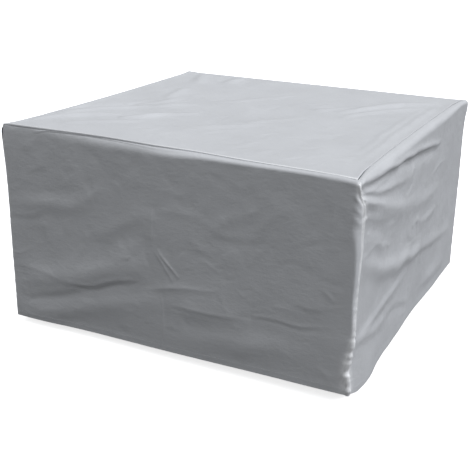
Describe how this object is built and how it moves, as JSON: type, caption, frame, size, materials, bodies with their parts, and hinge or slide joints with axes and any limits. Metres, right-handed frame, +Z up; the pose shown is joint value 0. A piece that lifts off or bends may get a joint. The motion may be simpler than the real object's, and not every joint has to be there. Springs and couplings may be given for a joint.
{
  "type": "patio furniture cover",
  "caption": "Fitted square cover of silver-grey coated cloth for a set of garden furniture, hollow and open underneath, with rolled top edges, corner seams and a plain hem.",
  "frame": {"origin": "the middle of the underside of the cover's top, where the furniture holds it up", "axes": "+Z up; the front panel faces -Y; +X is to the right as seen from the front"},
  "size_m": [1.3769, 1.3839, 0.7533],
  "materials": {
    "coated_cloth": "satin silver-grey coating on a fine plain weave"
  },
  "bodies": {
    "root": {"top_panel": "coated_cloth", "front_panel": "coated_cloth", "right_panel": "coated_cloth", "back_panel": "coated_cloth", "left_panel": "coated_cloth"}
  },
  "joints": []
}
